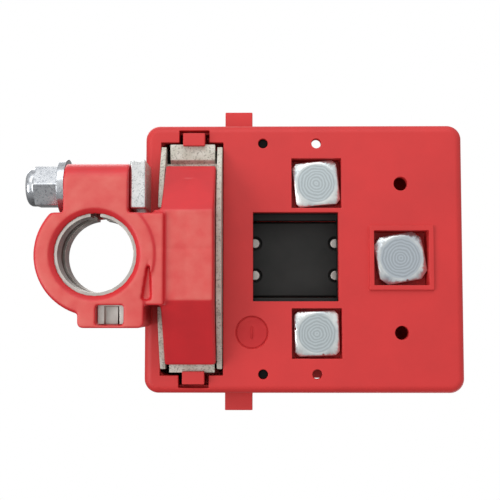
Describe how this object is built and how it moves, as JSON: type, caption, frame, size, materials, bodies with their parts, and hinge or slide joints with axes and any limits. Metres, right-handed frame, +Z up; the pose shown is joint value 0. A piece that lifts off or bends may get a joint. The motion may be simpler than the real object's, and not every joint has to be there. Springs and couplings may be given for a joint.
{
  "type": "battery switch",
  "caption": "Battery-post clamp with a jacketed arm in a steel tray, carrying a red fuse base with terminal studs, a rotary isolator switch and a hinged latched cover.",
  "frame": {"origin": "on the battery post's axis, at the lower edge of the metal clamp band", "axes": "+Z up in use, along the post; +X from the post towards the output stud; +Y across the base, away from the clamp bolt"},
  "size_m": [0.1144, 0.083, 0.0605],
  "materials": {
    "red_pbt": "matt glass-filled polyester",
    "jacket_red": "satin moulded jacket",
    "knob_red": "satin",
    "black_plastic": "matt",
    "fuse_orange": "translucent amber",
    "zinc_plated": "bright zinc plate",
    "tray_steel": "dull hot-dip zinc",
    "tinned_brass": "tinned",
    "tinned_copper": "tinned",
    "copper": "bare copper",
    "silver": "silver contact",
    "brass": "turned brass",
    "spring_steel": "bright",
    "nylon": "nylon",
    "rubber": "nitrile"
  },
  "bodies": {
    "base": {"arm_conductor": "tinned_copper", "base_housing": "red_pbt", "busbar_screws": "zinc_plated", "clamp_band": "tinned_brass", "clamp_bolt": "zinc_plated", "clamp_jacket": "jacket_red", "clamp_nut": "zinc_plated", "clamp_nut_insert": "nylon", "clamp_washer": "zinc_plated", "contact_tray": "tray_steel", "cover_hinge_pin": "spring_steel", "fixed_contacts": "silver", "fuse_cradle": "black_plastic", "housing_screws": "spring_steel", "insulating_plate": "black_plastic", "main_fuse_body": "black_plastic", "main_fuse_cap": "black_plastic", "main_fuse_rivets": "zinc_plated", "main_fuse_strip": "tinned_copper", "output_nut": "zinc_plated", "output_stud": "zinc_plated", "output_washer": "zinc_plated", "side_fuse_bodies": "fuse_orange", "side_fuse_strips": "tinned_copper", "side_nuts": "zinc_plated", "side_studs": "zinc_plated", "side_washers": "zinc_plated", "spindle_seal": "rubber", "supply_busbar": "tinned_copper", "switch_housing": "black_plastic", "threaded_inserts": "brass", "tray_screws": "zinc_plated"},
    "knob": {"rotor": "black_plastic", "contact_bridge": "copper", "bridge_tips": "silver", "bridge_spring": "spring_steel", "detent_balls": "spring_steel", "detent_springs": "spring_steel", "knob": "knob_red", "knob_screw": "spring_steel", "knob_cap": "black_plastic"},
    "cover": {"fuse_cover": "red_pbt", "latch_pins": "spring_steel"},
    "latch_front": {"cover_latch_front": "red_pbt"},
    "latch_rear": {"cover_latch_rear": "red_pbt"}
  },
  "joints": [
    {"name": "knob_turn", "type": "hinge", "parent": "base", "child": "knob", "pos_m": [0.0226, 0, 0.04], "axis": [0, 0, 1], "range_deg": [0, 90]},
    {"name": "cover_hinge", "type": "hinge", "parent": "base", "child": "cover", "pos_m": [0.093, 0, 0.036], "axis": [0, 1, 0], "range_deg": [0, 105]},
    {"name": "latch_front_pivot", "type": "hinge", "parent": "cover", "child": "latch_front", "pos_m": [0.0353, -0.0347, 0.039], "axis": [-1, 0, 0], "range_deg": [0, 12], "stiffness_Nm_per_rad": 0.03, "springref_deg": -11.46},
    {"name": "latch_rear_pivot", "type": "hinge", "parent": "cover", "child": "latch_rear", "pos_m": [0.0353, 0.0347, 0.039], "axis": [1, 0, 0], "range_deg": [0, 12], "stiffness_Nm_per_rad": 0.03, "springref_deg": -11.46}
  ]
}
